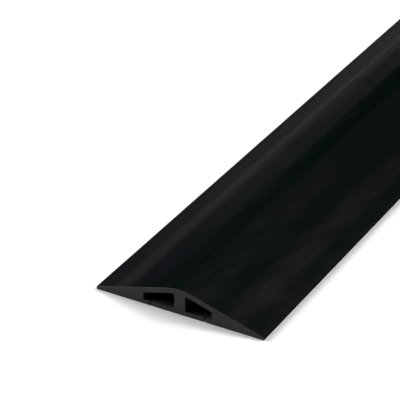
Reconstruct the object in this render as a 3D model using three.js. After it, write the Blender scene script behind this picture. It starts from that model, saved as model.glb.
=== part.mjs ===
// A floor cord cover: one length of flexible black extrusion that lies flat on the floor, with two
// cord channels side by side under its crown. The floor of each channel is slit along its whole
// length, so that a cord is pressed in from below anywhere along the cover.
//
// Millimetres, +Z up, +Y along the length, origin at the middle of the underside.

import * as THREE from "three";

// Outline of the section
const LENGTH = 1524; // 5 ft
const WIDTH = 63.5; // 2 1/2 in, across the underside
const HEIGHT = 9.6; // from the floor to the top of the crown
const CROWN_OFFSET = 0.4; // the crown and the web stand this far right of the middle
const CROWN_RADIUS = 19; // round along the top of the crown
const EDGE_HEIGHT = 1.2; // upright face of each long edge
const EDGE_ROUND = 0.2; // round over the top of that face

// The two channels and what is left around them
const WEB_THICKNESS = 4.15; // wall between the channels
const FLOOR_THICKNESS = 1.7;
const ROOF_THICKNESS = 2.0; // measured square to the flank
const LEFT_CHANNEL_WIDTH = 11.8;
const RIGHT_CHANNEL_WIDTH = 10.1;
const CHANNEL_ROUND = 0.5; // round in the channel's corners

// The slit in each channel's floor, which opens downwards into a shallow vee
const SLIT_GAP = 0.3;
const SLIT_FROM_WALL = 2.6; // slit to the channel's outer wall
const SLIT_DEPTH = 0.6; // straight part of the slit, above the vee
const VEE_WIDTH = 1.9;

const CURVE_STEPS = 6; // points on a small round; an arc has twice as many

// Each side is drawn to the right of the crown's middle, x being the distance from there.
const crownCentre = new THREE.Vector2(0, HEIGHT - CROWN_RADIUS);

// The straight flank runs from the top of the long edge to where it touches the crown's circle.
function flankTo(edgeX) {
  const edgeTop = new THREE.Vector2(edgeX, EDGE_HEIGHT);
  const toEdge = edgeTop.clone().sub(crownCentre);
  const touchAngle = toEdge.angle() + Math.acos(CROWN_RADIUS / toEdge.length());
  const touch = new THREE.Vector2(
    CROWN_RADIUS * Math.cos(touchAngle),
    crownCentre.y + CROWN_RADIUS * Math.sin(touchAngle),
  );
  return { edgeTop, touch, touchAngle, fallAngle: Math.PI / 2 - touchAngle };
}

// Height of the channel's roof under a straight flank.
function roofHeight(flank, x) {
  const flankHeight = EDGE_HEIGHT + (flank.edgeTop.x - x) * Math.tan(flank.fallAngle);
  return flankHeight - ROOF_THICKNESS / Math.cos(flank.fallAngle);
}

// Goes on from the path's last point to the corner and rounds it: the curve starts one radius
// before the corner and ends one radius after it, on the way to next.
function roundCorner(path, corner, next, radius) {
  const towardsNext = next.clone().sub(corner).setLength(radius);
  const fromLast = path.currentPoint.clone().sub(corner).setLength(radius);
  path.lineTo(corner.x + fromLast.x, corner.y + fromLast.y);
  path.quadraticCurveTo(corner.x, corner.y, corner.x + towardsNext.x, corner.y + towardsNext.y);
}

// Outline of a channel, from the underside up through its slit, round the channel from the web to
// the outer wall, and back down through the slit.
function channelPoints(flank, channelWidth) {
  const inner = WEB_THICKNESS / 2;
  const outer = inner + channelWidth;
  const slit = outer - SLIT_FROM_WALL;
  const slitFoot = FLOOR_THICKNESS - SLIT_DEPTH;
  const roofRadius = CROWN_RADIUS - ROOF_THICKNESS;
  const roofStart = Math.acos(inner / roofRadius);

  const innerFoot = new THREE.Vector2(inner, FLOOR_THICKNESS);
  const innerTop = new THREE.Vector2(inner, crownCentre.y + roofRadius * Math.sin(roofStart));
  const outerTop = new THREE.Vector2(outer, roofHeight(flank, outer));
  const outerFoot = new THREE.Vector2(outer, FLOOR_THICKNESS);

  const path = new THREE.Path();
  path.moveTo(slit - VEE_WIDTH / 2, 0);
  path.lineTo(slit - SLIT_GAP / 2, slitFoot);
  path.lineTo(slit - SLIT_GAP / 2, FLOOR_THICKNESS);
  roundCorner(path, innerFoot, innerTop, CHANNEL_ROUND);
  path.lineTo(innerTop.x, innerTop.y - CHANNEL_ROUND);
  const arcStart = roofStart - CHANNEL_ROUND / roofRadius;
  const onArc = new THREE.Vector2(Math.cos(arcStart), Math.sin(arcStart)).multiplyScalar(roofRadius);
  path.quadraticCurveTo(innerTop.x, innerTop.y, onArc.x, crownCentre.y + onArc.y);
  path.absarc(0, crownCentre.y, roofRadius, arcStart, flank.touchAngle, true);
  roundCorner(path, outerTop, outerFoot, CHANNEL_ROUND);
  roundCorner(path, outerFoot, innerFoot, CHANNEL_ROUND);
  path.lineTo(slit + SLIT_GAP / 2, FLOOR_THICKNESS);
  path.lineTo(slit + SLIT_GAP / 2, slitFoot);
  path.lineTo(slit + VEE_WIDTH / 2, 0);
  return path.getPoints(CURVE_STEPS);
}

// The long edge and flank, from the underside up to the crown's circle.
function flankPoints(flank) {
  const path = new THREE.Path();
  path.moveTo(flank.edgeTop.x, 0);
  roundCorner(path, flank.edgeTop, flank.touch, EDGE_ROUND);
  return path.getPoints(CURVE_STEPS);
}

const mirrored = (points) => points.map((p) => new THREE.Vector2(-p.x, p.y)).reverse();

// The whole section, counter-clockwise: up the right flank, over the crown, down the left flank
// and back along the underside, going up into each channel through its slit.
function sectionShape() {
  const right = flankTo(WIDTH / 2 - CROWN_OFFSET);
  const left = flankTo(WIDTH / 2 + CROWN_OFFSET);
  const crown = new THREE.Path();
  crown.absarc(0, crownCentre.y, CROWN_RADIUS, right.touchAngle, Math.PI - left.touchAngle, false);
  const outline = [
    ...flankPoints(right),
    ...crown.getPoints(CURVE_STEPS),
    ...mirrored(flankPoints(left)),
    ...mirrored(channelPoints(left, LEFT_CHANNEL_WIDTH)),
    ...channelPoints(right, RIGHT_CHANNEL_WIDTH),
  ];
  return new THREE.Shape(outline.map((p) => new THREE.Vector2(p.x + CROWN_OFFSET, p.y)));
}

function coverStrip() {
  const geometry = new THREE.ExtrudeGeometry(sectionShape(), { depth: LENGTH, bevelEnabled: false });
  const material = new THREE.MeshStandardMaterial({ color: 0x17181a, roughness: 0.5, metalness: 0 });
  const mesh = new THREE.Mesh(geometry, material);
  mesh.name = "cover_strip";
  mesh.rotation.x = Math.PI / 2;
  mesh.position.y = LENGTH / 2;
  return mesh;
}

const cordCover = new THREE.Group();
cordCover.add(coverStrip());

export default cordCover;
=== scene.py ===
# %% [markdown]
# # A floor cord cover, dressed in Blender
#
# A cord cover is one long extrusion of soft black vinyl: two ramps, a round crown, and two channels
# underneath that a cord is pressed into from below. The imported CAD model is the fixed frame. It says
# where the strip lies and how long, wide and high it is. This lesson rebuilds the same strip as a
# finer mesh in the same place, gives it the finish of extruded and sawn vinyl, and lights it on a
# pale floor.
#
# Everything is in metres, with +Y along the strip, +X across it and +Z up. The origin is in the
# middle of the underside.

# %% Load the frame
import math

import bpy
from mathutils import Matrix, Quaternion, Vector


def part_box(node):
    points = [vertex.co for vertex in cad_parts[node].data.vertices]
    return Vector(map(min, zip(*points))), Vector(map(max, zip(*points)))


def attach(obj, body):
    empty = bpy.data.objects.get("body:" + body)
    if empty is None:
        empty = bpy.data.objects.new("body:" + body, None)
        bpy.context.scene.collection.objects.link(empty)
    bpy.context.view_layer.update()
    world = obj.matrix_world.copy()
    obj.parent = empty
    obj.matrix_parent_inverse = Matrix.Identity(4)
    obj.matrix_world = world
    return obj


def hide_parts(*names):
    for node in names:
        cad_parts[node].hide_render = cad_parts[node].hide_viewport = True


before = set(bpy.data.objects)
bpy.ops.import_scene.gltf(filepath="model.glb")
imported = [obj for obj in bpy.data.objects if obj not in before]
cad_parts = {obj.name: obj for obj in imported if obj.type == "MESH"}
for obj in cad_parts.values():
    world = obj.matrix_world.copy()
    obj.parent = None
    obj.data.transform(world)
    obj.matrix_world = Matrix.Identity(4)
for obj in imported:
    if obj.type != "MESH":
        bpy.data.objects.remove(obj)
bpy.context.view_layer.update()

MM = 0.001
strip_low, strip_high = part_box("cover_strip")
LENGTH = strip_high.y - strip_low.y
WIDTH = strip_high.x - strip_low.x
HEIGHT = strip_high.z - strip_low.z
print("strip", round(LENGTH, 4), "long", round(WIDTH, 4), "wide", round(HEIGHT, 4), "high")

# %% [markdown]
# ## The section
#
# An extrusion is one outline pushed through a die, so the outline is worth most of the care. It
# could be traced as a list of points, but then no one could change a wall without drawing it again.
# Here it is worked out from the sizes a die maker would be given: straight flanks that touch a
# round crown, two channels that follow the roof, and a slit with a shallow vee in each channel's
# floor. The crown and the web under it stand a little right of the middle, so each side has a flank
# of its own.

# %% The sizes of the section
CROWN_OFFSET = 0.4 * MM  # the crown and the web stand this far right of the middle
CROWN_RADIUS = 19 * MM
EDGE_HEIGHT = 1.2 * MM
EDGE_ROUND = 0.2 * MM
WEB_THICKNESS = 4.15 * MM
FLOOR_THICKNESS = 1.7 * MM
ROOF_THICKNESS = 2.0 * MM
LEFT_CHANNEL_WIDTH = 11.8 * MM
RIGHT_CHANNEL_WIDTH = 10.1 * MM
CHANNEL_ROUND = 0.5 * MM
SLIT_GAP = 0.3 * MM
SLIT_FROM_WALL = 2.6 * MM
SLIT_DEPTH = 0.6 * MM
VEE_WIDTH = 1.9 * MM

crown_centre = HEIGHT - CROWN_RADIUS
walls = {"web": WEB_THICKNESS, "floor": FLOOR_THICKNESS, "roof": ROOF_THICKNESS}
print("walls in mm:", {name: round(thickness / MM, 2) for name, thickness in walls.items()})


# %% [markdown]
# A flank is flat, and it has to run into the crown without a crease. So its angle isn't a size: it
# follows from the point where a line from the long edge just touches the crown's circle.

# %% The two flanks
class Flank:
    """A straight flank, from the top of a long edge to where it touches the crown's circle.

    Each side is drawn to the right of the crown's middle, x being the distance from there.
    """

    def __init__(self, edge_x):
        rise = EDGE_HEIGHT - crown_centre
        self.edge_x = edge_x
        self.touch = math.atan2(rise, edge_x) + math.acos(CROWN_RADIUS / math.hypot(edge_x, rise))
        self.fall = math.pi / 2 - self.touch

    def height(self, x):
        return EDGE_HEIGHT + (self.edge_x - x) * math.tan(self.fall)


right_flank = Flank(WIDTH / 2 - CROWN_OFFSET)
left_flank = Flank(WIDTH / 2 + CROWN_OFFSET)
for name, flank in (("right", right_flank), ("left", left_flank)):
    print(name, "flank falls", round(math.degrees(flank.fall), 2), "degrees")


# %% [markdown]
# Corners on a real extrusion are arcs. One small helper walks along a straight line, one goes round
# a circle, and one rounds the corner between two lines with an arc that touches both.

# %% Points along lines, arcs and rounded corners
def line(start, end, step):
    """Points from start up to, but not at, end, no more than a step apart."""
    start, end = Vector(start), Vector(end)
    count = max(1, math.ceil((end - start).length / step))
    return [start.lerp(end, i / count) for i in range(count)]


def arc(centre_z, radius, start, end, step):
    """Points on a circle about (0, centre_z), from one angle up to, but not at, another."""
    count = max(2, math.ceil(abs(end - start) * radius / step))
    angles = [start + (end - start) * i / count for i in range(count)]
    return [Vector((radius * math.cos(a), centre_z + radius * math.sin(a))) for a in angles]


def turned(v, angle):
    cos, sin = math.cos(angle), math.sin(angle)
    return Vector((v.x * cos - v.y * sin, v.x * sin + v.y * cos))


def rounded(before, corner, after, radius, count=6):
    """An arc of that radius that touches both sides of a corner."""
    before, corner, after = Vector(before), Vector(corner), Vector(after)
    to_before = (before - corner).normalized()
    to_after = (after - corner).normalized()
    half = to_before.angle(to_after) / 2
    centre = corner + (to_before + to_after).normalized() * radius / math.sin(half)
    first = corner + to_before * radius / math.tan(half) - centre
    last = corner + to_after * radius / math.tan(half) - centre
    whole_turn = -first.angle_signed(last)
    return [centre + turned(first, whole_turn * i / count) for i in range(count + 1)]


corner_test = rounded((0, 1), (0, 0), (1, 0), 0.5, 2)
print("a rounded corner:", [tuple(round(c, 2) for c in p) for p in corner_test])


# %% [markdown]
# Each channel is drawn from the underside up through its slit, once for the right side. Mirroring
# the points gives the left one, and reversing them keeps the outline running the same way round.

# %% One channel with its slit
ROOF_STEP = 0.6 * MM


def channel(flank, width):
    inner = WEB_THICKNESS / 2
    outer = inner + width
    slit = outer - SLIT_FROM_WALL
    half_gap = SLIT_GAP / 2
    roof_drop = ROOF_THICKNESS / math.cos(flank.fall)
    roof_radius = CROWN_RADIUS - ROOF_THICKNESS
    roof_start = math.acos(inner / roof_radius) - CHANNEL_ROUND / roof_radius
    roof = arc(crown_centre, roof_radius, roof_start, flank.touch, ROOF_STEP)

    # The roof's arc starts a round's width out from the web, and still rises a little towards it.
    rise_to_web = CHANNEL_ROUND / 4
    inner_foot = (inner, FLOOR_THICKNESS)
    inner_top = (inner, roof[0].y + rise_to_web)
    outer_top = (outer, flank.height(outer) - roof_drop)
    outer_foot = (outer, FLOOR_THICKNESS)
    return [
        Vector((slit - VEE_WIDTH / 2, 0)),
        Vector((slit - half_gap, FLOOR_THICKNESS - SLIT_DEPTH)),
        Vector((slit - half_gap, FLOOR_THICKNESS)),
        *rounded((slit - half_gap, FLOOR_THICKNESS), inner_foot, inner_top, CHANNEL_ROUND),
        *rounded(inner_foot, inner_top, roof[1], CHANNEL_ROUND),
        *roof[1:],
        *rounded(roof[-1], outer_top, outer_foot, CHANNEL_ROUND),
        *rounded(outer_top, outer_foot, inner_foot, CHANNEL_ROUND),
        Vector((slit + half_gap, FLOOR_THICKNESS)),
        Vector((slit + half_gap, FLOOR_THICKNESS - SLIT_DEPTH)),
        Vector((slit + VEE_WIDTH / 2, 0)),
    ]


def mirrored(points):
    return [Vector((-p.x, p.y)) for p in reversed(points)]


print("right channel takes", len(channel(right_flank, RIGHT_CHANNEL_WIDTH)), "points")

# %% [markdown]
# ## Relief on the flanks
#
# A ruled line would give a flank that reflects the room in one even tone. Real flanks are never that
# true: the die wears, and thick walls shrink more than thin ones as they cool, so low ridges and
# hollows run along the strip. They are under a tenth of a millimetre high, too low to see from the
# side, but they tilt the skin by a degree or two and draw soft bands of light along it. Each is a
# smooth bump on the outline. That makes them part of the mesh, not only of the material.

# %% Ridges and hollows
RELIEF = [  # how far from the crown, how wide, and how high or deep
    (-20.8 * MM, 1.9 * MM, 0.055 * MM),
    (-7.2 * MM, 1.8 * MM, 0.025 * MM),
    (13.5 * MM, 3.0 * MM, -0.05 * MM),
    (22.5 * MM, 2.6 * MM, 0.05 * MM),
]
RELIEF_ENDS = 2 * MM  # it fades out over this much next to a long edge


def to_long_edge(x):
    """How far it is to the nearer long edge, x being the distance from the crown's middle."""
    return min(right_flank.edge_x - x, left_flank.edge_x + x)


def edge_fade(x):
    """1 over nearly all of the top, falling to 0 at either long edge."""
    return min(1.0, to_long_edge(x) / RELIEF_ENDS)


def relief(x):
    bumps = [height * math.exp(-((x - middle) / width) ** 2) for middle, width, height in RELIEF]
    return edge_fade(x) * sum(bumps)


print("relief at the left ridge", round(relief(RELIEF[0][0]) / MM, 3), "mm")

# %% [markdown]
# Now the pieces join into one closed outline. It goes up the right edge, over the crown and down the
# left side, then back along the underside and up into each channel. The slits are what make one
# outline enough: through them the channels are part of the outside.

# %% The whole outline
FLANK_STEP = 0.9 * MM
CROWN_STEP = 0.5 * MM


def flank_points(flank):
    """Up the long edge, round its top and along the flank to the crown."""
    foot = (flank.edge_x, 0)
    edge_top = (flank.edge_x, EDGE_HEIGHT)
    crown_x = CROWN_RADIUS * math.cos(flank.touch)
    crown_foot = (crown_x, flank.height(crown_x))
    edge_arc = rounded(foot, edge_top, crown_foot, EDGE_ROUND)
    return [Vector(foot), *edge_arc, *line(edge_arc[-1], crown_foot, FLANK_STEP)[1:], Vector(crown_foot)]


top = [
    *flank_points(right_flank),
    *arc(crown_centre, CROWN_RADIUS, right_flank.touch, math.pi - left_flank.touch, CROWN_STEP)[1:],
    *mirrored(flank_points(left_flank)),
]
for p in top:
    if p.y > EDGE_HEIGHT:
        p.y += relief(p.x)
below = [*mirrored(channel(left_flank, LEFT_CHANNEL_WIDTH)), *channel(right_flank, RIGHT_CHANNEL_WIDTH)]
outline = [Vector((p.x + CROWN_OFFSET, p.y)) for p in top + below]
print("outline of", len(outline), "points,", len(top), "of them on top")

# %% [markdown]
# The outline becomes a mesh of points and edges. Three numbers ride on its points and follow them
# into the swept strip. The first says how far a point may sink where the skin is hollow: the top may,
# but the underside and the channels stay true, and at a long edge it fades away, or the fine round
# there would fold over itself. The second marks the points that the sizing plates never polished, and
# the third those of the upright long edges. The faces' materials follow from these two.

# %% The section as a mesh with three numbers at each point
section = bpy.data.meshes.new("cover_section")
count = len(outline)
edges = [(i, (i + 1) % count) for i in range(count)]
section.from_pydata([(p.x, 0, p.y) for p in outline], edges, [])
give = section.attributes.new("give", "FLOAT", "POINT")
dull = section.attributes.new("dull", "FLOAT", "POINT")
upright = section.attributes.new("upright", "FLOAT", "POINT")
for i, p in enumerate(outline):
    from_middle = p.x - CROWN_OFFSET
    on_skin = i < len(top) and to_long_edge(from_middle) > EDGE_ROUND
    give.data[i].value = edge_fade(from_middle) if on_skin else 0.0
    dull.data[i].value = 0.0 if on_skin else 1.0
    upright.data[i].value = 1.0 if i < len(top) and not on_skin else 0.0
strip = bpy.data.objects.new("vinyl_strip", section)
bpy.context.scene.collection.objects.link(strip)
print("section:", len(section.vertices), "points and", len(section.edges), "edges")


# %% [markdown]
# ## Node trees in few lines
#
# Both the sweep and the materials are node trees. Written out, each node takes four or five lines
# and the idea drowns, so one helper adds a node, sets its properties, and fills its inputs. An input
# that is given another node's output is linked, and one that is given a number is set.

# %% Helpers for node trees
def add(tree, kind, inputs=None, **settings):
    node = tree.nodes.new(kind)
    for name, value in settings.items():
        setattr(node, name, value)
    for key, value in (inputs or {}).items():
        if isinstance(value, bpy.types.NodeSocket):
            tree.links.new(value, node.inputs[key])
        else:
            node.inputs[key].default_value = value
    return node


def calc(tree, operation, a, b=0.0):
    return add(tree, "ShaderNodeMath", {0: a, 1: b}, operation=operation).outputs[0]


def split(tree, vector):
    return add(tree, "ShaderNodeSeparateXYZ", {0: vector}).outputs


print("helpers:", [helper.__name__ for helper in (add, calc, split)])

# %% [markdown]
# ## The strip
#
# The section could be extruded by hand, but a die pulls it, and a pull is what Geometry Nodes do
# well: a line is the path, the section is the profile, and Curve to Mesh sweeps one along the other.
# The tree then does what the cooling bath and the saw do. Noise that is stretched along the strip
# sinks the skin into long shallow hollows, which break a reflection up into soft streaks. The last
# row of points at each end is drawn in a little, because a saw leaves no knife edge in soft vinyl.

# %% The tree's inputs
sweep = bpy.data.node_groups.new("pull_through_die", "GeometryNodeTree")
SWEEP_INPUTS = [
    ("Section", "Geometry"), ("Length", "Float"), ("Row Step", "Float"), ("Rim", "Float"),
    ("Hollow Depth", "Float"), ("Hollow Width", "Float"), ("Hollow Length", "Float"), ("Seed", "Float"),
    ("Skin", "Material"), ("Unpolished", "Material"), ("Long Edge", "Material"),
    ("Sawn End", "Material"),
]
for name, kind in SWEEP_INPUTS:
    sweep.interface.new_socket(name, in_out="INPUT", socket_type="NodeSocket" + kind)
sweep.interface.new_socket("Strip", in_out="OUTPUT", socket_type="NodeSocketGeometry")
given = add(sweep, "NodeGroupInput").outputs
print("sweep takes", [name for name, kind in SWEEP_INPUTS])

# %% [markdown]
# The path is a straight line with a row of points every few millimetres. The rim at each end needs a
# row of its own, so the row next to the end is moved out until only the rim's width is left.

# %% The path, with a row of points close to each end for the rim
half_length = calc(sweep, "MULTIPLY", given["Length"], 0.5)
back = add(sweep, "ShaderNodeCombineXYZ", {"Y": half_length})
front = add(sweep, "ShaderNodeCombineXYZ", {"Y": calc(sweep, "MULTIPLY", half_length, -1.0)})
path = add(sweep, "GeometryNodeCurvePrimitiveLine", {"Start": front.outputs[0], "End": back.outputs[0]})
rows = add(sweep, "GeometryNodeResampleCurve",
           {"Curve": path.outputs[0], "Length": given["Row Step"]}, mode="LENGTH")

here = add(sweep, "GeometryNodeInputPosition").outputs[0]
along = split(sweep, here)["Y"]
to_end = calc(sweep, "SUBTRACT", half_length, calc(sweep, "ABSOLUTE", along))
past_end_row = calc(sweep, "GREATER_THAN", to_end, calc(sweep, "MULTIPLY", given["Row Step"], 0.5))
before_third_row = calc(sweep, "LESS_THAN", to_end, calc(sweep, "MULTIPLY", given["Row Step"], 1.5))
rim_row = calc(sweep, "MULTIPLY", past_end_row, before_third_row)
rim_place = calc(sweep, "MULTIPLY", calc(sweep, "SIGN", along),
                 calc(sweep, "SUBTRACT", half_length, given["Rim"]))
closer = add(sweep, "ShaderNodeCombineXYZ", {"Y": rim_place})
die_path = add(sweep, "GeometryNodeSetPosition",
               {"Geometry": rows.outputs[0], "Selection": rim_row, "Position": closer.outputs[0]})
print("sweep tree has", len(sweep.nodes), "nodes so far")

# %% [markdown]
# Curve to Mesh lays the profile across the path. The section was drawn standing up, so it is first
# turned to lie in the profile's own plane, and Fill Caps closes the two ends. Laid that way, the
# outline runs round the path backwards and its faces look into the vinyl. Flip Faces turns them out,
# and both the rim and the bump depend on that.

# %% The pull itself
profile = add(sweep, "GeometryNodeMeshToCurve", {"Mesh": given["Section"]})
laid = add(sweep, "GeometryNodeTransform",
           {"Geometry": profile.outputs[0], "Rotation": (math.pi / 2, 0, 0)})
pulled = add(sweep, "GeometryNodeCurveToMesh",
             {"Curve": die_path.outputs[0], "Profile Curve": laid.outputs[0], "Fill Caps": True})
solid = add(sweep, "GeometryNodeFlipFaces", {"Mesh": pulled.outputs[0]})
print("sweep tree has", len(sweep.nodes), "nodes so far")

# %% [markdown]
# Warm vinyl sinks as it cools, unevenly and over long stretches. Two coordinates divided by a width
# and a length give noise with hollows of that size, and the number that each point carries says how
# much of it to take. The noise is four-dimensional only to have a seed.

# %% Cooling: the skin sinks into long shallow hollows
stretched = add(sweep, "ShaderNodeCombineXYZ", {
    "X": calc(sweep, "DIVIDE", split(sweep, here)["X"], given["Hollow Width"]),
    "Y": calc(sweep, "DIVIDE", along, given["Hollow Length"]),
})
hollows = add(sweep, "ShaderNodeTexNoise",
              {"Vector": stretched.outputs[0], "W": given["Seed"], "Scale": 1.0, "Detail": 1.0},
              noise_dimensions="4D")
share = add(sweep, "GeometryNodeInputNamedAttribute", {"Name": "give"}, data_type="FLOAT")
depth = calc(sweep, "MULTIPLY", calc(sweep, "MULTIPLY", hollows.outputs[0], share.outputs[0]),
             given["Hollow Depth"])
sink = add(sweep, "ShaderNodeCombineXYZ", {"Z": calc(sweep, "MULTIPLY", depth, -1.0)})
cooled = add(sweep, "GeometryNodeSetPosition", {"Geometry": solid.outputs[0], "Offset": sink.outputs[0]})
print("sweep tree has", len(sweep.nodes), "nodes with the cooling")

# %% [markdown]
# A bevel would also round the saw's edge, but it would have to find that edge again among all the
# others. Here the end row is known, so its points simply move inwards, against their normals, by the
# rim's width. A point's normal there leans out over the end, so only its part across the strip
# counts.

# %% Sawing: the end rows are drawn in by the rim's width
outwards = split(sweep, add(sweep, "GeometryNodeInputNormal").outputs[0])
sideways = add(sweep, "ShaderNodeCombineXYZ", {"X": outwards["X"], "Z": outwards["Z"]})
direction = add(sweep, "ShaderNodeVectorMath", {0: sideways.outputs[0]}, operation="NORMALIZE")
inwards = add(sweep, "ShaderNodeVectorMath",
              {0: direction.outputs[0], "Scale": calc(sweep, "MULTIPLY", given["Rim"], -1.0)},
              operation="SCALE")
end_row = calc(sweep, "LESS_THAN", to_end, calc(sweep, "MULTIPLY", given["Rim"], 0.5))
sawn_off = add(sweep, "GeometryNodeSetPosition",
               {"Geometry": cooled.outputs[0], "Selection": end_row, "Offset": inwards.outputs[0]})
print("sweep tree has", len(sweep.nodes), "nodes with the sawing")

# %% [markdown]
# Last come the materials. The skin goes on everything, then the unpolished vinyl and the long edges'
# own finish on the faces whose points were marked for them, then the sawn finish on the two ends.
# Their rims lean at 45 degrees and are torn by the same saw, so that finish goes on every face that
# leans over an end by that much.

# %% Materials: skin on top, unpolished below and inside, matte long edges, sawn ends
ALL_MARKED = 0.75  # a face's number is its four points' mean, so above this all four are marked
END_LEAN = 0.5  # how far along the strip a rim's or an end's normal points, at least
real = add(sweep, "GeometryNodeRealizeInstances", {0: sawn_off.outputs[0]})
all_skin = add(sweep, "GeometryNodeSetMaterial", {"Geometry": real.outputs[0], "Material": given["Skin"]})
unpolished = add(sweep, "GeometryNodeInputNamedAttribute", {"Name": "dull"}, data_type="FLOAT")
is_unpolished = calc(sweep, "GREATER_THAN", unpolished.outputs[0], ALL_MARKED)
with_inside = add(sweep, "GeometryNodeSetMaterial",
                  {"Geometry": all_skin.outputs[0], "Selection": is_unpolished,
                   "Material": given["Unpolished"]})
on_edge = add(sweep, "GeometryNodeInputNamedAttribute", {"Name": "upright"}, data_type="FLOAT")
is_edge = calc(sweep, "GREATER_THAN", on_edge.outputs[0], ALL_MARKED)
with_edges = add(sweep, "GeometryNodeSetMaterial",
                 {"Geometry": with_inside.outputs[0], "Selection": is_edge, "Material": given["Long Edge"]})
is_end = calc(sweep, "GREATER_THAN", calc(sweep, "ABSOLUTE", outwards["Y"]), END_LEAN)
with_ends = add(sweep, "GeometryNodeSetMaterial",
                {"Geometry": with_edges.outputs[0], "Selection": is_end, "Material": given["Sawn End"]})
add(sweep, "NodeGroupOutput", {0: with_ends.outputs[0]})
print("sweep tree has", len(sweep.nodes), "nodes")


# %% [markdown]
# ## The finishes
#
# All four finishes are the same black vinyl. What differs is how the surface was made, so they
# share their tools: a noise pattern whose grain is given in real lengths, and a Map Range that turns
# it into a small change of roughness or colour. Patterns read the Object coordinates, so they stay
# with the strip and don't stretch with it.

# %% Material helpers
def new_material(name):
    material = bpy.data.materials.new(name)
    material.use_nodes = True
    tree = material.node_tree
    tree.nodes.clear()
    shader = add(tree, "ShaderNodeBsdfPrincipled")
    add(tree, "ShaderNodeOutputMaterial", {0: shader.outputs[0]})
    return material, tree, shader


def object_coordinates(tree):
    return add(tree, "ShaderNodeTexCoord").outputs["Object"]


def pattern(tree, x, y, z, detail=3.0, turn=0.0):
    """Noise whose grain measures x, y and z, in metres, turned about the vertical."""
    scaled = add(tree, "ShaderNodeMapping",
                 {"Vector": object_coordinates(tree), "Scale": (x, y, z), "Rotation": (0, 0, turn)},
                 vector_type="TEXTURE")
    noise = add(tree, "ShaderNodeTexNoise", {"Vector": scaled.outputs[0], "Scale": 1.0, "Detail": detail})
    return noise.outputs[0]


def streaks(tree, size, detail=3.0, turn=0.0):
    """Noise whose grain has a width across the strip and a length along it."""
    width, length = size
    return pattern(tree, width, length, width, detail, turn)


def spread(tree, value, low, high, from_low=0.3, from_high=0.7):
    """Stretches a value to run from low to high. Noise hardly ever leaves 0.3 to 0.7."""
    limits = {"From Min": from_low, "From Max": from_high, "To Min": low, "To Max": high}
    return add(tree, "ShaderNodeMapRange", {"Value": value, **limits}).outputs[0]


def ramp(tree, value, stops, low, high):
    """A line through (place, level) stops, read at a value that runs from low to high."""
    node = add(tree, "ShaderNodeValToRGB", {0: spread(tree, value, 0.0, 1.0, low, high)})
    marks = node.color_ramp.elements
    while len(marks) < len(stops):
        marks.new(0.5)
    for mark, (place, level) in zip(marks, stops):
        mark.position = (place - low) / (high - low)
        mark.color = (level, level, level, 1)
    return node.outputs[0]


def between(tree, factor, dark, light):
    """A colour between two, by a factor that a pattern gives."""
    shade = add(tree, "ShaderNodeMix", data_type="RGBA")
    tree.links.new(factor, shade.inputs[0])
    shade.inputs["A"].default_value = (*dark, 1)
    shade.inputs["B"].default_value = (*light, 1)
    return shade.outputs["Result"]


print("material helpers:", [helper.__name__ for helper in (pattern, streaks, spread, ramp, between)])

# %% [markdown]
# ### The polished skin
#
# Near-black vinyl shows almost nothing but its reflections, so its finish is mostly roughness. The
# sizing plates polish the top, more in some places than others, which leaves lengthwise bands: dull
# near the left edge, glossy over the crown. One ramp read across the strip gives their roughness. A
# second one says how fully the plates polished each band, and picks between two blacks: a greenish
# one where they did, and a faintly violet one where they hardly touched it.

# %% The bands that the plates leave
GLOSS_BANDS = [  # millimetres from the crown, and the roughness there
    (-31.0, 0.195), (-25.5, 0.193), (-24.4, 0.230), (-18.9, 0.236), (-18.3, 0.168), (-9.8, 0.158),
    (-8.6, 0.122), (-5.5, 0.131), (-4.0, 0.168), (-2.5, 0.185), (2.0, 0.180), (9.0, 0.180),
    (11.0, 0.157), (15.0, 0.157), (18.5, 0.203), (20.5, 0.217), (23.5, 0.210), (25.5, 0.182),
    (26.5, 0.168), (28.0, 0.168), (31.0, 0.196),
]
POLISHED = [  # millimetres from the crown, and how fully the plates polished the skin there
    (-19.0, 0.0), (-18.0, 0.35), (-10.0, 0.35), (-8.6, 1.0), (1.5, 1.0), (3.0, 0.8), (9.5, 0.8),
    (11.0, 1.0), (16.0, 1.0), (18.5, 0.0), (24.5, 0.0), (26.0, 1.0), (31.0, 0.7),
]
print(len(GLOSS_BANDS), "gloss stops and", len(POLISHED), "polish stops")

# %% [markdown]
# The strip drifts a little sideways under the plates, so the bands wander by a millimetre as they
# leave the end. The end is also where it is cut, packed and gripped. That dulls the skin there, most
# of all where it was glossiest, so the roughness is multiplied by a number that falls from 1 at the
# end to less further in.

# %% Roughness along and across the strip
RAMP_REACH = 32.0  # millimetres from the crown, a little more than the strip's half width
WANDER_OVER = (10 * MM, 190 * MM)  # distances from the end, between which the bands wander
WANDER = (-0.3, 1.3)  # how far right they lie at the first and at the second, in millimetres
HANDLED_OVER = (70 * MM, 180 * MM)  # handling dulls all up to the first and nothing past the second
skin, tree, shader = new_material("polished_vinyl_skin")
shader.inputs["Specular IOR Level"].default_value = 0.45
place = split(tree, object_coordinates(tree))
from_end = calc(tree, "SUBTRACT", LENGTH / 2, calc(tree, "ABSOLUTE", place["Y"]))
wander = spread(tree, from_end, *WANDER, *WANDER_OVER)
across = calc(tree, "DIVIDE", calc(tree, "SUBTRACT", place["X"], CROWN_OFFSET), MM)
from_crown = calc(tree, "SUBTRACT", across, wander)
bands = ramp(tree, from_crown, GLOSS_BANDS, -RAMP_REACH, RAMP_REACH)
polished = ramp(tree, from_crown, POLISHED, -RAMP_REACH, RAMP_REACH)
untouched = spread(tree, from_end, 0.0, 1.0, *HANDLED_OVER)
fresh = calc(tree, "MULTIPLY", untouched, spread(tree, polished, 0.10, 0.42, 0.0, 1.0))
shine = calc(tree, "SUBTRACT", 1.0, fresh)
band_roughness = calc(tree, "MULTIPLY", bands, shine)
print("band nodes:", len(tree.nodes))

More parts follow.
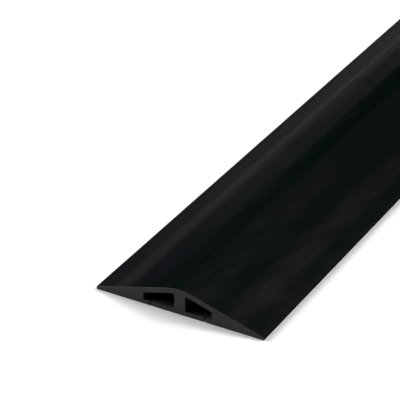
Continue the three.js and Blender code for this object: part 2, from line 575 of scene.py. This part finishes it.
# %% [markdown]
# Over the bands lies what the die and use have left. Die lines are hair-fine and run on for a
# quarter of a metre. Shoes and boxes rub the crown and the right flank into broad soft patches and
# short slanting smears, and reach the left flank less. Each is noise with the mark's own width and
# length. The patches also shift the skin between its two blacks.

# %% Marks of the die and of use
DIE_LINE = (1.2 * MM, 260 * MM)  # width and length, here and below
RUBBED_PATCH = (9 * MM, 22 * MM)
SMEAR = (2.2 * MM, 22 * MM)
SMEAR_SLANT = math.radians(-14)
BLOTCH = (6 * MM, 20 * MM)
handled = spread(tree, from_crown, 0.4, 1.0, -12.0, -4.0)
die_lines = spread(tree, streaks(tree, DIE_LINE), -0.008, 0.008)
rubbed = spread(tree, streaks(tree, RUBBED_PATCH), -0.020, 0.020)
smears = spread(tree, streaks(tree, SMEAR, 4.0, SMEAR_SLANT), -0.022, 0.022)
marks = calc(tree, "MULTIPLY", calc(tree, "ADD", rubbed, smears), handled)
wear = calc(tree, "ADD", die_lines, marks)
tree.links.new(calc(tree, "ADD", band_roughness, wear), shader.inputs["Roughness"])
blotches = spread(tree, streaks(tree, BLOTCH), -0.5, 0.5)
depth_of_black = calc(tree, "ADD", polished, calc(tree, "MULTIPLY", blotches, handled))
black = between(tree, depth_of_black, (0.0011, 0.0013, 0.0024), (0.0002, 0.0018, 0.0017))
tree.links.new(black, shader.inputs["Base Color"])
print("band and mark nodes:", len(tree.nodes))

# %% [markdown]
# Seen close, extruded vinyl isn't smooth. It has fine lines from the die and a faint grain between
# them, too small to see one by one, and they keep any highlight from being mirror-sharp.

# %% The skin's fine surface
FINE_LINE = (0.5 * MM, 120 * MM)
GRAIN = (0.35 * MM, 0.5 * MM)
fine_lines = streaks(tree, FINE_LINE, 2.0)
grain = streaks(tree, GRAIN, 2.0)
fine_height = calc(tree, "ADD", calc(tree, "MULTIPLY", fine_lines, 0.5), grain)
bump = add(tree, "ShaderNodeBump", {"Strength": 0.15, "Distance": 0.03 * MM, "Height": fine_height})
tree.links.new(bump.outputs[0], shader.inputs["Normal"])
print("skin nodes:", len(tree.nodes))

# %% [markdown]
# ### Inside and underneath
#
# No plate touches the channels or the underside, so the vinyl keeps the dull grey-black bloom that it
# left the die with. It scatters more light than the skin does, and that is why the mouth of a channel
# isn't a black hole.

# %% Unpolished vinyl
BLOOM = (2 * MM, 25 * MM)
inside, tree, shader = new_material("unpolished_vinyl")
shader.inputs["Specular IOR Level"].default_value = 0.15
bloom = streaks(tree, BLOOM)
shade = between(tree, spread(tree, bloom, 0.0, 1.0), (0.0105, 0.0115, 0.0130), (0.0160, 0.0172, 0.0192))
tree.links.new(shade, shader.inputs["Base Color"])
tree.links.new(spread(tree, bloom, 0.55, 0.7), shader.inputs["Roughness"])
print("unpolished nodes:", len(tree.nodes))

# %% [markdown]
# ### The long edges
#
# The two upright edges have neither the skin's polish nor the bloom: they are a flat black. They
# stand in the white glare of the floor, where even a slight gloss would draw a pale line along the
# whole strip, so this finish mirrors nothing.

# %% Matte long edges
DRAG_LINE = (1 * MM, 60 * MM)
edge, tree, shader = new_material("matte_long_edge")
shader.inputs["Specular IOR Level"].default_value = 0.0
shader.inputs["Roughness"].default_value = 0.8
drag_lines = spread(tree, streaks(tree, DRAG_LINE), 0.0, 1.0)
tree.links.new(between(tree, drag_lines, (0.0060, 0.0064, 0.0070), (0.0090, 0.0095, 0.0104)),
               shader.inputs["Base Color"])
print("long edge nodes:", len(tree.nodes))

# %% [markdown]
# ### The sawn end
#
# A saw tears soft vinyl into a fine dry nap that looks dark grey beside the skin. Its teeth leave
# faint parallel strokes, nearly upright, and the cut is a little lighter where they rubbed.

# %% Sawn vinyl
STROKE_PITCH = 0.8 * MM
STROKE_LEAN = math.radians(12)
WAVE_PITCH = 0.314  # a wave texture's bands are this far apart at scale 1
NAP = (0.5 * MM, 0.5 * MM, 0.7 * MM)
CLOUD = (6 * MM, 6 * MM, 3 * MM)
cut, tree, shader = new_material("sawn_vinyl_end")
shader.inputs["Specular IOR Level"].default_value = 0.2
shader.inputs["Roughness"].default_value = 0.75
leaning = add(tree, "ShaderNodeMapping",
              {"Vector": object_coordinates(tree), "Rotation": (0, STROKE_LEAN, 0)})
strokes = add(tree, "ShaderNodeTexWave",
              {"Vector": leaning.outputs[0], "Scale": WAVE_PITCH / STROKE_PITCH, "Distortion": 3.0,
               "Detail": 2.0}, bands_direction="X").outputs[1]
nap = pattern(tree, *NAP)
cloud = pattern(tree, *CLOUD)
fine_tone = calc(tree, "ADD", calc(tree, "MULTIPLY", strokes, 0.15), calc(tree, "MULTIPLY", nap, 0.35))
tone = spread(tree, calc(tree, "ADD", fine_tone, cloud), 0.0, 1.0, 0.45, 1.05)
tree.links.new(between(tree, tone, (0.0182, 0.0187, 0.0200), (0.0226, 0.0231, 0.0248)),
               shader.inputs["Base Color"])
torn = calc(tree, "ADD", calc(tree, "MULTIPLY", strokes, 0.4), nap)
bump = add(tree, "ShaderNodeBump", {"Strength": 0.3, "Distance": 0.05 * MM, "Height": torn})
tree.links.new(bump.outputs[0], shader.inputs["Normal"])
print("sawn end nodes:", len(tree.nodes))

# %% [markdown]
# ## Making the strip
#
# The tree now gets its numbers. A modifier's inputs are set by the socket's identifier, not by its
# name, and before the strip is first worked out.

# %% The numbers for this strip
sweep_modifier = strip.modifiers.new("pull_through_die", "NODES")
sweep_modifier.node_group = sweep
WANTED = {
    "Length": LENGTH,
    "Row Step": 4 * MM,
    "Rim": 0.1 * MM,
    "Hollow Depth": 0.06 * MM,
    "Hollow Width": 7 * MM,
    "Hollow Length": 90 * MM,
    "Seed": 3.0,
    "Skin": skin,
    "Unpolished": inside,
    "Long Edge": edge,
    "Sawn End": cut,
}
for item in sweep.interface.items_tree:
    if item.name in WANTED:
        sweep_modifier[item.identifier] = WANTED[item.name]
print("given:", ", ".join(WANTED))

# %% [markdown]
# The result is copied out as a plain mesh and the modifier goes, so that the mesh that stays is
# what is seen. Smooth shading that breaks above 20 degrees keeps the crown round and the long edges,
# the slits and the saw's edge crisp.

# %% Pull it
CREASE = math.radians(20)
depsgraph = bpy.context.evaluated_depsgraph_get()
pulled_mesh = bpy.data.meshes.new_from_object(strip.evaluated_get(depsgraph))
strip.modifiers.clear()
strip.data = pulled_mesh
pulled_mesh.name = "vinyl_strip"
pulled_mesh.shade_smooth()
pulled_mesh.set_sharp_from_angle(angle=CREASE)
print("strip mesh:", len(pulled_mesh.vertices), "points,", len(pulled_mesh.polygons), "faces,",
      [m.name for m in pulled_mesh.materials])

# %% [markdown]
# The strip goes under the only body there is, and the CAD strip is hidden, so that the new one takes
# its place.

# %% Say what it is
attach(strip, "root")
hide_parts("cover_strip")
print(strip.name, "stands in for cover_strip")

# %% [markdown]
# ## Floor
#
# The strip lies on a plain white sheet that runs out of sight. The sheet is a stage, not part of the
# object. It is matte, so that the only mark on it is the soft shadow along the foot of the strip.

# %% A white floor
FLOOR_REACH = 40.0
FIBRES = 60 * MM
corners = [(-1, -1), (1, -1), (1, 1), (-1, 1)]
floor_mesh = bpy.data.meshes.new("pale_floor")
floor_mesh.from_pydata([(FLOOR_REACH * x, FLOOR_REACH * y, 0) for x, y in corners], [], [(0, 1, 2, 3)])
floor = bpy.data.objects.new("pale_floor", floor_mesh)
bpy.context.scene.collection.objects.link(floor)
paper, tree, shader = new_material("white_paper_floor")
fibres = spread(tree, pattern(tree, FIBRES, FIBRES, FIBRES), 0.0, 1.0)
white = between(tree, fibres, (0.785, 0.785, 0.785), (0.800, 0.799, 0.797))
tree.links.new(white, shader.inputs["Base Color"])
shader.inputs["Roughness"].default_value = 0.9
shader.inputs["Specular IOR Level"].default_value = 0.1
floor_mesh.materials.append(paper)
print("floor reaches", FLOOR_REACH, "m each way")


# %% [markdown]
# ## Light
#
# Black vinyl is lit by choosing what it doesn't reflect. The camera looks down at the strip from the
# right and front, so the left flank mirrors a spot low behind it on the left, and the right flank one
# half way up behind it. Both spots stay nearly dark. The light comes from the sides instead: a broad
# soft source low on the left and another behind on the right. Low light gives the floor its even
# white and the short soft shadow at the foot of the strip. It also reaches into the channels. Only a
# dim card stands near the spot that the left flank mirrors, and its edge is the sheen that grows
# along that flank.
#
# A wide sun makes a better soft source than a lamp close by, because it lights the whole length
# evenly. Azimuth 0 is +Y and 90 is -X.

# %% Light helpers
def link_light(name, data, towards):
    lamp = bpy.data.objects.new(name, data)
    lamp.rotation_mode = "QUATERNION"
    lamp.rotation_quaternion = towards.to_track_quat("-Z", "Y")
    bpy.context.scene.collection.objects.link(lamp)
    return lamp


def soft_source(name, azimuth, elevation, strength, width):
    """A sun that fills width degrees of sky about a direction."""
    data = bpy.data.lights.new(name, "SUN")
    data.energy = strength
    data.angle = math.radians(width)
    a, e = math.radians(azimuth), math.radians(elevation)
    direction = Vector((-math.sin(a) * math.cos(e), math.cos(a) * math.cos(e), math.sin(e)))
    return link_light(name, data, -direction)


def card(name, place, target, size, power, colour):
    """A glowing card that the strip can mirror and the camera can't see."""
    data = bpy.data.lights.new(name, "AREA")
    data.shape = "RECTANGLE"
    data.size, data.size_y = size
    data.energy = power
    data.color = colour
    lamp = link_light(name, data, Vector(target) - Vector(place))
    lamp.location = place
    lamp.visible_camera = False
    return lamp


# %% [markdown]
# The first two sources do nearly all the work. The other two are weak: one fills in the right side
# from above, and one grazes the skin from low down. The card is cool, as daylight is.

# %% Lights
soft_source("broad_left", azimuth=100, elevation=21, strength=5.8, width=44)
soft_source("broad_behind_right", azimuth=320, elevation=43, strength=2.5, width=32)
soft_source("high_behind", azimuth=20, elevation=65, strength=0.5, width=30)
soft_source("low_left", azimuth=60, elevation=10, strength=0.5, width=16)
card("dim_card_behind_left", place=(-2.9, 4.6, 0.65), target=(0, -0.7, 0.0), size=(2.4, 0.5),
     power=1.0, colour=(0.94, 0.97, 1.0))

# %% [markdown]
# The room around them is almost black low down and dim grey higher up. The crown turns from the low
# part to the high part within a few millimetres, and that change of tone is what shows that it is
# round.

# %% The room
world = bpy.data.worlds.new("studio")
world.use_nodes = True
room = world.node_tree
upwards = split(room, add(room, "ShaderNodeTexCoord").outputs["Generated"])["Z"]
glow = add(room, "ShaderNodeMapRange",
           {"Value": upwards, "From Min": 0.42, "From Max": 0.55, "To Min": 0.012, "To Max": 0.05},
           interpolation_type="SMOOTHSTEP")
room.links.new(glow.outputs[0], room.nodes["Background"].inputs["Strength"])
room.nodes["Background"].inputs["Color"].default_value = (0.97, 0.98, 1.0, 1)
bpy.context.scene.world = world
bpy.context.scene.view_settings.view_transform = "Standard"
print("room strength from", glow.inputs["To Min"].default_value, "to", glow.inputs["To Max"].default_value)

# %% [markdown]
# ## Camera
#
# The camera's place was worked out from the photograph's lines that are parallel on the strip: where
# they meet gives its direction and its lens, and the width of the section gives its distance. It is
# written here as an angle round the strip, an angle above the floor, and the pixel where the foot of
# the web is seen. Stepping back from that point along the line of sight, and then sideways, puts the
# point on its pixel.

# %% Camera sizes
IMAGE_SIDE = 400
FOCAL_PIXELS = 2045.3
AZIMUTH = math.radians(29.53)
ELEVATION = math.radians(29.98)
ROLL = math.radians(-0.1)
WEB_FOOT_PIXEL = (179.60, 314.66)
WEB_FOOT_DEPTH = 0.67386
SENSOR = 36.0
print("field of view", round(math.degrees(2 * math.atan(IMAGE_SIDE / 2 / FOCAL_PIXELS)), 2), "degrees")

# %% [markdown]
# The lens follows from the focal length in pixels and the sensor's width. The camera first looks
# along the two angles, rolls a little, and then moves, without turning, until the web's foot is in
# its place.

# %% Camera
camera_data = bpy.data.cameras.new("camera")
camera_data.sensor_width = SENSOR
camera_data.lens = FOCAL_PIXELS * SENSOR / IMAGE_SIDE
camera_data.clip_start = 0.01
camera_data.clip_end = 100
camera = bpy.data.objects.new("camera", camera_data)
bpy.context.scene.collection.objects.link(camera)
bpy.context.scene.camera = camera

towards_camera = Vector((math.sin(AZIMUTH) * math.cos(ELEVATION),
                         -math.cos(AZIMUTH) * math.cos(ELEVATION), math.sin(ELEVATION)))
aim = (-towards_camera).to_track_quat("-Z", "Y") @ Quaternion((0, 0, 1), ROLL)
camera.rotation_mode = "QUATERNION"
camera.rotation_quaternion = aim
pixel = WEB_FOOT_DEPTH / FOCAL_PIXELS
off_right = (WEB_FOOT_PIXEL[0] - IMAGE_SIDE / 2) * pixel
off_down = (WEB_FOOT_PIXEL[1] - IMAGE_SIDE / 2) * pixel
web_foot = Vector((CROWN_OFFSET, strip_low.y, 0))
camera.location = web_foot + aim @ Vector((-off_right, off_down, WEB_FOOT_DEPTH))
print("camera at", [round(c, 4) for c in camera.location], "lens", round(camera_data.lens, 1))
